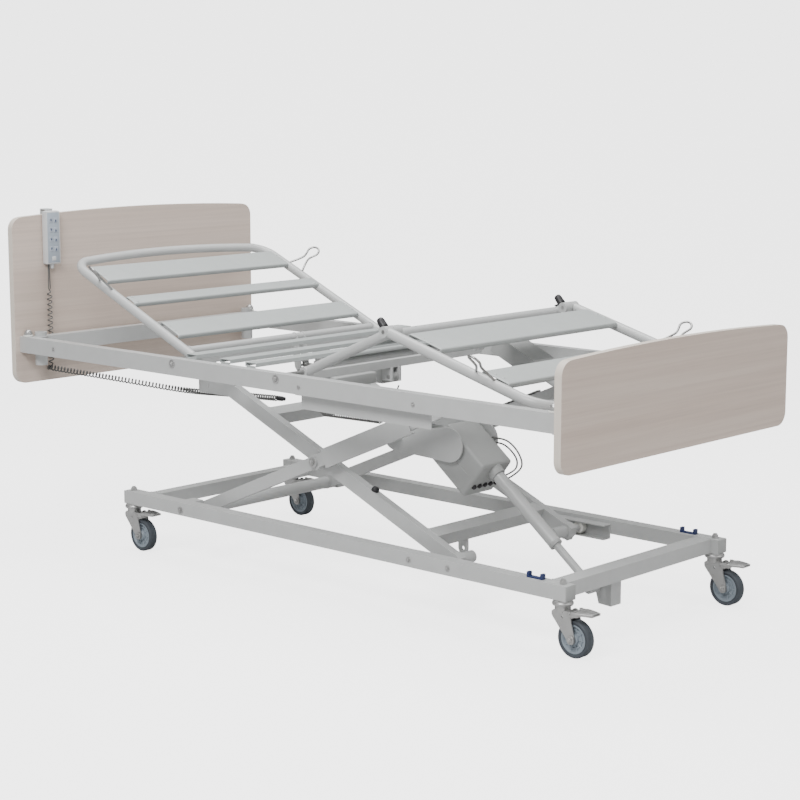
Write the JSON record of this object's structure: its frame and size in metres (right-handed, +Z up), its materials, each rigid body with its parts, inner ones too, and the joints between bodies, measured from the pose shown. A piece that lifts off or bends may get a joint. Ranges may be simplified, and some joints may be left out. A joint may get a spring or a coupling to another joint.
{
  "type": "adjustable hospital bed",
  "caption": "Height-adjustable care bed on a scissor chassis with castors, raised backrest and knee sections, pale wood boards and a corded handset.",
  "frame": {"origin": "on the floor under the middle of the bed's outer box", "axes": "+X towards the foot end, +Y towards the far side, +Z up"},
  "size_m": [2.19, 1.01, 1.042],
  "materials": {
    "frame_paint": "light grey powder coat, satin",
    "zinc": "zinc plated steel",
    "rod_metal": "drawn metal, satin",
    "grey_plastic": "light grey moulded plastic",
    "roller_plastic": "pale plastic",
    "black_plastic": "black plastic",
    "navy_plastic": "dark blue plastic",
    "board_laminate": "whitewashed ash laminate",
    "handset_plastic": "grey-blue moulded plastic",
    "handset_panel": "printed film",
    "key_plastic": "soft pale plastic",
    "cable": "grey cable sheath",
    "hub_plastic": "blue-grey plastic",
    "tyre": "grey-black rubber"
  },
  "bodies": {
    "chassis": {"chassis_frame": "frame_paint", "base_tracks": "frame_paint", "rail_clips": "navy_plastic", "caster_stems": "zinc", "lower_pivot_pins": "zinc"},
    "outer_legs": {"outer_legs": "frame_paint", "leg_covers": "frame_paint"},
    "upper_rollers": {"upper_rollers": "roller_plastic"},
    "inner_legs": {"inner_legs": "frame_paint", "leg_plugs": "black_plastic"},
    "lower_rollers": {"lower_rollers": "roller_plastic"},
    "platform": {"platform_frame": "frame_paint", "upper_tracks": "frame_paint", "seat_slats": "frame_paint", "platform_pivot_pins": "zinc", "headboard": "board_laminate", "footboard": "board_laminate", "board_knobs": "black_plastic", "cable_box": "grey_plastic", "handset_cable": "cable", "handset_shell": "handset_plastic", "handset_panel": "handset_panel"},
    "backrest": {"backrest_frame": "frame_paint", "backrest_slats": "frame_paint", "backrest_retainers": "zinc"},
    "thigh": {"thigh_frame": "frame_paint", "thigh_slats": "frame_paint", "knee_pins": "zinc", "knee_caps": "black_plastic"},
    "calf": {"calf_frame": "frame_paint", "calf_slats": "frame_paint", "calf_retainers": "zinc"},
    "hilo_rod": {"hilo_rod": "rod_metal"},
    "hilo_tube": {"hilo_housing": "grey_plastic", "hilo_tube": "rod_metal"},
    "backrest_motor": {"backrest_motor": "grey_plastic"},
    "backrest_rod": {"backrest_rod": "rod_metal"},
    "knee_rod": {"knee_rod": "rod_metal"},
    "knee_motor": {"knee_motor": "grey_plastic"},
    "key_1": {"handset_key_1": "key_plastic"},
    "key_2": {"handset_key_2": "key_plastic"},
    "key_3": {"handset_key_3": "key_plastic"},
    "key_4": {"handset_key_4": "key_plastic"},
    "lock_key": {"handset_lock_key": "black_plastic"},
    "fork_near_head": {"caster_fork_near_head": "zinc"},
    "wheel_near_head": {"wheel_hub_near_head": "hub_plastic", "tyre_near_head": "tyre"},
    "pedal_near_head": {"caster_pedal_near_head": "zinc"},
    "fork_far_head": {"caster_fork_far_head": "zinc"},
    "wheel_far_head": {"wheel_hub_far_head": "hub_plastic", "tyre_far_head": "tyre"},
    "pedal_far_head": {"caster_pedal_far_head": "zinc"},
    "fork_near_foot": {"caster_fork_near_foot": "zinc"},
    "wheel_near_foot": {"wheel_hub_near_foot": "hub_plastic", "tyre_near_foot": "tyre"},
    "pedal_near_foot": {"caster_pedal_near_foot": "zinc"},
    "fork_far_foot": {"caster_fork_far_foot": "zinc"},
    "wheel_far_foot": {"wheel_hub_far_foot": "hub_plastic", "tyre_far_foot": "tyre"},
    "pedal_far_foot": {"caster_pedal_far_foot": "zinc"}
  },
  "joints": [
    {"name": "lift", "type": "hinge", "parent": "chassis", "child": "outer_legs", "pos_m": [-0.463, 0, 0.152], "axis": [0, -1, 0], "range_deg": [-9.5, 6.4]},
    {"name": "scissor_centre", "type": "hinge", "parent": "outer_legs", "child": "inner_legs", "pos_m": [0.037, 0, 0.364], "axis": [0, -1, 0], "range_deg": [-12.9, 19.1]},
    {"name": "platform_level", "type": "hinge", "parent": "inner_legs", "child": "platform", "pos_m": [-0.463, 0, 0.576], "axis": [0, -1, 0], "range_deg": [-9.6, 6.5]},
    {"name": "upper_roller_turn", "type": "hinge", "parent": "outer_legs", "child": "upper_rollers", "pos_m": [0.537, 0, 0.576], "axis": [0, 1, 0], "continuous": true},
    {"name": "lower_roller_turn", "type": "hinge", "parent": "inner_legs", "child": "lower_rollers", "pos_m": [0.537, 0, 0.152], "axis": [0, 1, 0], "continuous": true},
    {"name": "hilo_tilt", "type": "hinge", "parent": "chassis", "child": "hilo_rod", "pos_m": [0.908, -0.125, 0.122], "axis": [0, -1, 0], "range_deg": [-7.7, 11.4]},
    {"name": "hilo_stroke", "type": "slide", "parent": "hilo_rod", "child": "hilo_tube", "axis": [-0.7869, 0, 0.617], "range_m": [-0.1175, 0.0795]},
    {"name": "backrest_raise", "type": "hinge", "parent": "platform", "child": "backrest", "pos_m": [-0.342, 0, 0.64], "axis": [0, 1, 0], "range_deg": [-23.5, 46.5]},
    {"name": "backrest_motor_tilt", "type": "hinge", "parent": "platform", "child": "backrest_motor", "pos_m": [0.018, 0.062, 0.572], "axis": [0, 1, 0], "range_deg": [-2.3, 4.4]},
    {"name": "backrest_stroke", "type": "slide", "parent": "backrest_motor", "child": "backrest_rod", "axis": [-0.9999, 0, -0.0104], "range_m": [-0.0262, 0.0516]},
    {"name": "thigh_raise", "type": "hinge", "parent": "platform", "child": "thigh", "pos_m": [0.091, 0, 0.64], "axis": [0, -1, 0], "range_deg": [-23.26, 11.7]},
    {"name": "knee", "type": "hinge", "parent": "thigh", "child": "calf", "pos_m": [0.42597, 0, 0.78398], "axis": [0, -1, 0], "range_deg": [-19.6, 38.9]},
    {"name": "knee_rod_tilt", "type": "hinge", "parent": "platform", "child": "knee_rod", "pos_m": [0.848, 0.062, 0.52], "axis": [0, -1, 0], "range_deg": [-6.5, 12.8]},
    {"name": "knee_stroke", "type": "slide", "parent": "knee_rod", "child": "knee_motor", "axis": [-0.9123, 0, 0.4095], "range_m": [-0.0608, 0.0307]},
    {"name": "swivel_near_head", "type": "hinge", "parent": "chassis", "child": "fork_near_head", "pos_m": [-0.704, -0.3425, 0.1], "axis": [0, 0, 1], "continuous": true},
    {"name": "wheel_near_head", "type": "hinge", "parent": "fork_near_head", "child": "wheel_near_head", "pos_m": [-0.661, -0.3425, 0.05], "axis": [0, 1, 0], "continuous": true},
    {"name": "pedal_near_head", "type": "hinge", "parent": "fork_near_head", "child": "pedal_near_head", "pos_m": [-0.664, -0.3425, 0.118], "axis": [0, 1, 0], "range_deg": [-8, 4]},
    {"name": "swivel_far_head", "type": "hinge", "parent": "chassis", "child": "fork_far_head", "pos_m": [-0.704, 0.3425, 0.1], "axis": [0, 0, 1], "continuous": true},
    {"name": "wheel_far_head", "type": "hinge", "parent": "fork_far_head", "child": "wheel_far_head", "pos_m": [-0.661, 0.3425, 0.05], "axis": [0, 1, 0], "continuous": true},
    {"name": "pedal_far_head", "type": "hinge", "parent": "fork_far_head", "child": "pedal_far_head", "pos_m": [-0.664, 0.3425, 0.118], "axis": [0, 1, 0], "range_deg": [-8, 4]},
    {"name": "swivel_near_foot", "type": "hinge", "parent": "chassis", "child": "fork_near_foot", "pos_m": [0.982, -0.3425, 0.1], "axis": [0, 0, 1], "continuous": true},
    {"name": "wheel_near_foot", "type": "hinge", "parent": "fork_near_foot", "child": "wheel_near_foot", "pos_m": [1.025, -0.3425, 0.05], "axis": [0, 1, 0], "continuous": true},
    {"name": "pedal_near_foot", "type": "hinge", "parent": "fork_near_foot", "child": "pedal_near_foot", "pos_m": [1.022, -0.3425, 0.118], "axis": [0, 1, 0], "range_deg": [-8, 4]},
    {"name": "swivel_far_foot", "type": "hinge", "parent": "chassis", "child": "fork_far_foot", "pos_m": [0.982, 0.3425, 0.1], "axis": [0, 0, 1], "continuous": true},
    {"name": "wheel_far_foot", "type": "hinge", "parent": "fork_far_foot", "child": "wheel_far_foot", "pos_m": [1.025, 0.3425, 0.05], "axis": [0, 1, 0], "continuous": true},
    {"name": "pedal_far_foot", "type": "hinge", "parent": "fork_far_foot", "child": "pedal_far_foot", "pos_m": [1.022, 0.3425, 0.118], "axis": [0, 1, 0], "range_deg": [-8, 4]},
    {"name": "press_1", "type": "hinge", "parent": "platform", "child": "key_1", "pos_m": [-1.052, -0.364, 1.006], "axis": [0, 0, 1], "range_deg": [-3, 3]},
    {"name": "press_2", "type": "hinge", "parent": "platform", "child": "key_2", "pos_m": [-1.052, -0.364, 0.976], "axis": [0, 0, 1], "range_deg": [-3, 3]},
    {"name": "press_3", "type": "hinge", "parent": "platform", "child": "key_3", "pos_m": [-1.052, -0.364, 0.946], "axis": [0, 0, 1], "range_deg": [-3, 3]},
    {"name": "press_4", "type": "hinge", "parent": "platform", "child": "key_4", "pos_m": [-1.052, -0.364, 0.916], "axis": [0, 0, 1], "range_deg": [-3, 3]},
    {"name": "press_lock", "type": "slide", "parent": "platform", "child": "lock_key", "axis": [-1, 0, 0], "range_m": [0, 0.001]}
  ],
  "couplings": [
    {"joint": "scissor_centre", "follows": "lift", "ratio": -2},
    {"joint": "platform_level", "follows": "lift", "ratio": 1},
    {"joint": "hilo_tilt", "follows": "lift", "ratio": -1.1818},
    {"joint": "hilo_stroke", "follows": "lift", "m_per_rad": 0.7037},
    {"joint": "backrest_motor_tilt", "follows": "backrest_raise", "ratio": 0.0923},
    {"joint": "backrest_stroke", "follows": "backrest_raise", "m_per_rad": 0.0632},
    {"joint": "knee", "follows": "thigh_raise", "ratio": -1.666},
    {"joint": "knee_rod_tilt", "follows": "thigh_raise", "ratio": -0.5442},
    {"joint": "knee_stroke", "follows": "thigh_raise", "m_per_rad": 0.1491}
  ]
}
